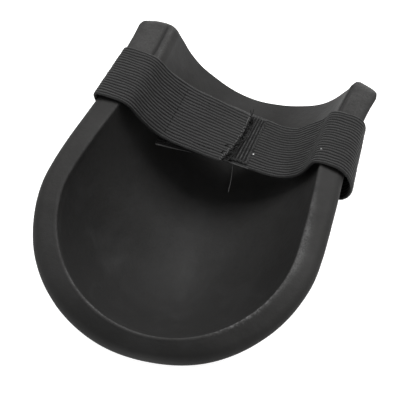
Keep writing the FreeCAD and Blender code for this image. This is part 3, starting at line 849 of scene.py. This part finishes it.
def right_pairs(left):
    """(near, far) edge points of the right strap, which loops out slackly before it crosses the rim."""
    def edge(y, loop, inside):
        return ([on_flat(y, 36.0), on_flat(y, 41.0), on_flat(y, 46.5), on_flat(y, 50.0, 0.4)] + loop
                + [rim_edge(y, 6.4)] + inside)

    yn, yf = RIGHT_Y, RIGHT_Y + WEB
    (xn, zn), (xf, zf) = rim_edge(yn, 0.0), rim_edge(yf, 0.0)
    near = edge(yn, [(69.8, 54.6), (78.0, 55.2), (82.8, 63.4), (83.0, 74.0), (78.8, 82.8), (73.4, 86.2)],
                [(xn + 1.6, zn - 0.25), (xn - 2.6, zn - 2.4), (52.6, 67.5), (48.2, 60.2),
                 (42.0, 54.6), (32.0, 50.9), (19.0, 50.5)])
    far = edge(yf, [(67.7, 56.6), (73.4, 59.0), (76.6, 64.5), (77.4, 71.5), (75.6, 77.6), (71.4, 79.9)],
               [(xf + 1.6, zf - 0.25), (xf - 2.4, zf - 2.2), (53.6, 68.6), (44.6, 56.0),
                (36.5, 45.9), (28.0, 42.4), (18.0, 43.5)])
    lag = [0.0, 0.0, 0.0, 0.4, 1.2, 2.0, 2.2, 1.6, 0.8, 0.3] + [0.0] * 8
    pairs = [((a[0], yn - k, a[1]), (b[0], yf - k * 0.3, b[1])) for a, b, k in zip(near, far, lag)]
    # the free end lies skewed and a little slack under the left strap
    for x, skew, slack in ((6.0, 0.2, 0.0), (-8.0, 1.2, 0.3), (-20.0, 3.0, 1.2), (-31.0, 4.9, 2.0),
                           (-36.7, 6.7, 2.8)):
        s = left.find(x, 60.0)
        pair = []
        for y in (yn, yf):
            p = left.at(s, (y - LEFT_Y) / WEB, -STACK)
            pair.append((p[0], y - skew, p[2] - slack))
        pairs.append(tuple(pair))
    return pairs


LEFT = Strap(left_pairs(), 1)
RIGHT = Strap(right_pairs(LEFT), -1)
# Along each strap: its end, where it bends over the rim, where its piece on top of the rim starts,
# the seam or join that its end turns about, and where its end piece starts.
L_END, R_END = LEFT.s[-1], RIGHT.s[-1]
L_RIM, R_RIM = LEFT.find(-61.0, 40.0), RIGHT.find(61.0, 50.0)
L_TOP, R_TOP = L_RIM - 9.0, R_RIM - 10.0
L_SEAM, R_JOIN = LEFT.find(-37.0, 50.0), RIGHT.find(21.6, 60.0)
L_CUT, R_CUT = LEFT.find(-50.0, 50.0), RIGHT.find(44.0, 60.0)
EDGE = 0.5 - 17.0 / WEB             # where a centred tape 34 mm wide starts across the strap


def cut_bow(v):
    """The left strap's cut end bows out a little, and is not cut quite straight."""
    v = np.asarray(v, float)
    bow = 2.8 * np.sin(np.pi * np.clip(v, 0, 1)) ** 0.8 - 1.2 * (1 - v) + 1.5 * v ** 4
    jag = np.array([noise.noise(Vector((b * 14.0, 1.3, 0.2))) for b in np.atleast_1d(v)])
    return bow + 0.55 * jag.reshape(v.shape) - 0.6


# ------------------------------------------------------------------ materials
FOAM = foam_material()
ELASTIC = elastic_material()
LOOP = tape_material("loop_fabric", 27)
HOOK = tape_material("hook_fabric", 22)
DARK_THREAD = thread_material("dark_thread", 18)
GREY_THREAD = thread_material("grey_thread", 70)
PALE_THREAD = thread_material("pale_thread", 105)
LINT = thread_material("lint", 225)
RIVET = metal_material("blackened_steel", 50, 0.8)
WASHER = metal_material("plated_steel", 120, 0.9)


# ------------------------------------------------------------------- the pad
def lay(piece, body, slot, *nodes):
    """A piece rides on a body and stands for the CAD nodes given; slot is not used."""
    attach(piece, body)
    if nodes:
        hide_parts(*nodes)


def bend(piece, strap, start, end, node):
    """A length of elastic, its transform baked in, that stands for the CAD node given; the points at start
    and end mm along are worked out but not used.
    """
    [tuple(strap.at(s, 0.5) * MM) for s in (start, end)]
    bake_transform(piece)
    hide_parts(node)


cup = build_cup(FOAM)
lay(cup, "root", "foam", "foam_cup")

lay(webbing("left_elastic_outside", LEFT, 0.0, L_TOP, start_cap=True), "root", "elastic", "left_root")
bend(webbing("left_elastic_upper", LEFT, L_TOP, L_CUT),
     LEFT, L_RIM - 3.5, L_RIM + 4.5, "left_band")
bend(webbing("left_elastic_end", LEFT, L_CUT, L_END, end_cap=True, trim=cut_bow,
             quiet=lambda s: 1.0 - 0.35 * float(smoothstep(s, L_SEAM - 1, L_SEAM + 2))),
     LEFT, L_SEAM - 2.5, L_SEAM + 2.5, "left_tab")
lay(webbing("right_elastic_outside", RIGHT, 0.0, R_TOP, start_cap=True), "root", "elastic", "right_root")
bend(webbing("right_elastic_upper", RIGHT, R_TOP, R_CUT),
     RIGHT, R_RIM - 4.0, R_RIM + 5.0, "right_band")
bend(webbing("right_elastic_end", RIGHT, R_CUT, R_END, end_cap=True, wave=0.2),
     RIGHT, R_JOIN - 2.5, R_JOIN + 2.5, "right_tab")
lay(tape("hook_fabric_strip", LEFT, L_SEAM + 1.5, L_END + 2.9, EDGE * 0.6, 1 - EDGE * 0.6, -0.95, -2.0,
         HOOK, pitch=1.1, lines=-0.15, trim=cut_bow), "left_end", "hook_tape", "hook_tape")
lay(tape("loop_fabric_strip", RIGHT, R_JOIN + 4.9, R_END - 3.0, EDGE * 0.47, 1 - EDGE * 0.45, 0.9, 1.8,
         LOOP), "right_end", "loop_tape", "loop_tape")


# ------------------------------------------------------------------ stitching
def thread_piece(name, paths, radius, material, body, *nodes, sides=6):
    lay(threads(name, paths, radius, material, sides), body, "thread", *nodes)


def rows_of(columns, first, last, step):
    """Places of stitches in rows along the strap, one at each v."""
    return [(s, v) for v in columns for s in np.arange(first, last, step)]


hook_rows = rows_of((3.0 / RIBS, 18.0 / RIBS), L_SEAM + 4, L_END - 5, 3.4)
thread_piece("hook_stitches", seam(LEFT, hook_rows, 0.5), 0.14, DARK_THREAD, "left_end", "hook_stitching")
thread_piece("seam_stitches", seam(LEFT, [(L_SEAM + 2.0, v) for v in np.arange(0.12, 0.9, 0.085)],
                                   0.72, across=True), 0.2, DARK_THREAD, "left_end", "seam_stitching")
hem = []
for v in np.arange(0.02, 0.985, 0.021):
    if rng.uniform() < 0.25:
        continue
    s = L_END + float(cut_bow(np.array([v]))[0]) - rng.uniform(0.5, 1.6)
    t, turn = np.linspace(-1, 1, 6), rng.uniform(-1.2, 1.2)
    hem.append(LEFT.at(s + 0.6 * t * math.cos(turn), v + 0.013 * t * math.sin(turn),
                       0.95 + 0.3 * np.cos(t * math.pi / 2)))
thread_piece("hem_stitches", hem, 0.15, PALE_THREAD, "left_end", "hem_stitching")
both_sides = rows_of((EDGE * 0.45 + 0.03, 0.97 - EDGE * 0.45), R_JOIN + 6, R_JOIN + 17, 2.6)
at_start = [(R_JOIN + 5.9, v) for v in np.arange(0.09, 0.93, 0.065)]
loop_rows = seam(RIGHT, both_sides, 1.75, 2.0) + seam(RIGHT, at_start, 1.75, 2.0, across=True)
thread_piece("loop_stitches", loop_rows, 0.14, GREY_THREAD, "right_end", "loop_stitching")

# ----------------------------------------------------- frayed ends and threads
fray = []
for v in np.sort(rng.uniform(0.02, 0.98, 520)):
    s = L_END + float(cut_bow(np.array([v]))[0])
    reach, drop = rng.uniform(0.3, 3.4), rng.uniform(-2.0, 0.6)
    t = np.linspace(0, 1, 5)
    drift = rng.normal(0, 0.022)
    lift = rng.uniform(-1.6, 0.8) * (1 - t) + drop * t
    fray.append(LEFT.at(s - 0.4 + reach * t, v + drift * t ** 2, lift))
dark = [path for i, path in enumerate(fray) if i % 3]
thread_piece("frayed_cut_end", dark, 0.1, DARK_THREAD, "left_end", sides=4)
thread_piece("frayed_pale_hairs", fray[::3], 0.1, GREY_THREAD, "left_end", sides=4)

# two threads at the far corner of the cut end, and two short ends near it
t = np.linspace(0, 1, 14)
corner = LEFT.at(L_END + 0.6, 0.99, 0.4)
loose = [corner + np.outer(t, (-0.6, 4.2, 1.6)) + np.outer(np.sin(t * 3.0), (0.5, 0.0, 0.5)),
         corner + np.outer(t, (-1.6, 2.6, 1.2)) + np.outer(np.sin(t * 2.4), (-0.3, 0.0, 0.6))]
for v, turn in ((0.30, 0.5), (0.17, 1.1)):
    base = LEFT.at(L_END - 3.0, v, 1.15)
    across = np.array([math.cos(turn), math.sin(turn), 0.1])
    loose.append(base + np.outer(t - 0.5, across * 2.6) + np.outer(np.sin(t * math.pi), (0, 0, 0.35)))
thread_piece("loose_dark_threads", loose, 0.24, DARK_THREAD, "left_end")

# thin pale thread that hangs from the right strap into the hollow
start = RIGHT.at(R_JOIN + 12.4, 0.015, -0.9)
hanging = start + np.outer(t, (2.2, -13.2, -12.9)) + np.outer(np.sin(t * math.pi), (0.3, 0.5, -0.7))
thread_piece("loose_pale_thread", [hanging], 0.17, PALE_THREAD, "right_end")

# lint caught on the elastic
for name, s, v, size, radius in (("lint_near_join", R_JOIN + 3.8, 0.27, 0.8, 0.2),
                                 ("lint_near_rim", R_RIM + 1.5, 0.24, 0.4, 0.12)):
    base, specks = RIGHT.at(s, v, 1.3), []
    for k in range(7):
        way = rng.normal(0, 1, 3)
        way /= np.linalg.norm(way)
        specks.append(base + np.outer(np.linspace(-0.5, 0.5, 5), way * size)
                      + np.outer(np.sin(np.linspace(0, math.pi, 5)), rng.normal(0, 0.15, 3)))
    thread_piece(name, specks, radius, LINT, "right_strap", sides=5)

# painted highlight as pale threads along the right strap's selvedge, at its free end and beside the loop
# tape; beside the tape a dark thread as painted shadow in the groove by its edge
light_and_grime = RIGHT.at(np.linspace(R_END - 23.0, R_END - 0.3, 30), -0.004,
                0.35 + 0.1 * np.sin(np.linspace(0, 9, 30)))
thread_piece("selvedge_highlight", [light_and_grime], np.linspace(0.15, 0.55, 30), PALE_THREAD, "right_end")
beside = np.linspace(R_JOIN + 3.0, R_JOIN + 19.0, 30)
thread_piece("selvedge_highlight_by_tape", [RIGHT.at(beside, 0.004, 0.3)], 0.4, GREY_THREAD, "right_end")
# painted shadow: a dark thread laid in the groove beside the loop tape
thread_piece("painted_shadow_thread", [RIGHT.at(beside + 2.0, 0.033, 0.75)], 0.42, DARK_THREAD, "right_end")

# ----------------------------------------------------------- rivets, washers
for name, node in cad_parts.items():
    for slot, material in (("rivet", RIVET), ("washer", WASHER)):
        if slot in name:
            node.data.materials.clear()
            node.data.materials.append(material)
            node.data.shade_smooth()


# ----------------------------------------------------------- camera and light
AZIMUTH, ELEVATION, DISTANCE = math.radians(21.78), math.radians(62.0), 0.7
LOOK_AT, LENS = (0.00613, 0.00328, 0.051), 100.9
back = Vector((math.sin(AZIMUTH) * math.cos(ELEVATION), -math.cos(AZIMUTH) * math.cos(ELEVATION),
               math.sin(ELEVATION)))
camera_data = bpy.data.cameras.new("camera")
camera = bpy.data.objects.new("camera", camera_data)
bpy.context.scene.collection.objects.link(camera)
camera.location = Vector(LOOK_AT) + back * DISTANCE
camera.rotation_mode = "QUATERNION"
camera.rotation_quaternion = (-back).to_track_quat("-Z", "Y")
camera_data.sensor_width = 36.0
camera_data.lens = LENS
camera_data.clip_start, camera_data.clip_end = 0.01, 20.0
bpy.context.scene.camera = camera


def area_light(name, place, target, size, power):
    data = bpy.data.lights.new(name, "AREA")
    data.shape = "RECTANGLE"
    data.size, data.size_y = size
    data.energy = power
    light = bpy.data.objects.new(name, data)
    bpy.context.scene.collection.objects.link(light)
    light.location = place
    light.rotation_mode = "QUATERNION"
    light.rotation_quaternion = (Vector(target) - Vector(place)).to_track_quat("-Z", "Y")


area_light("back_soft", (0.0, 0.66, 1.10), (0, 0, 0.06), (1.5, 0.8), 24.5)
area_light("left_soft", (-1.0, 0.2, 0.8), (0, 0, 0.05), (0.8, 0.6), 2.2)
area_light("right_soft", (1.0, 0.2, 0.8), (0, 0, 0.05), (0.8, 0.6), 1.5)

world = bpy.data.worlds.new("world")
bpy.context.scene.world = world
world.use_nodes = True
sky = world.node_tree.nodes["Background"]
sky.inputs["Color"].default_value = (1, 1, 1, 1)
sky.inputs["Strength"].default_value = 0.38
bpy.context.scene.view_settings.view_transform = "Standard"

floor_look = Nodes("floor_white")
floor_look.set(Base_Color=(0.58, 0.58, 0.58, 1.0), Roughness=0.95, Specular_IOR_Level=0.1,
               Emission_Color=(1.0, 1.0, 1.0, 1.0), Emission_Strength=0.85)
half = 6000
floor = make_mesh("floor", [(-half, -half, 0), (half, -half, 0), (half, half, 0), (-half, half, 0)],
                  [(0, 1, 2, 3)], floor_look.material, smooth=False)

bpy.context.view_layer.update()
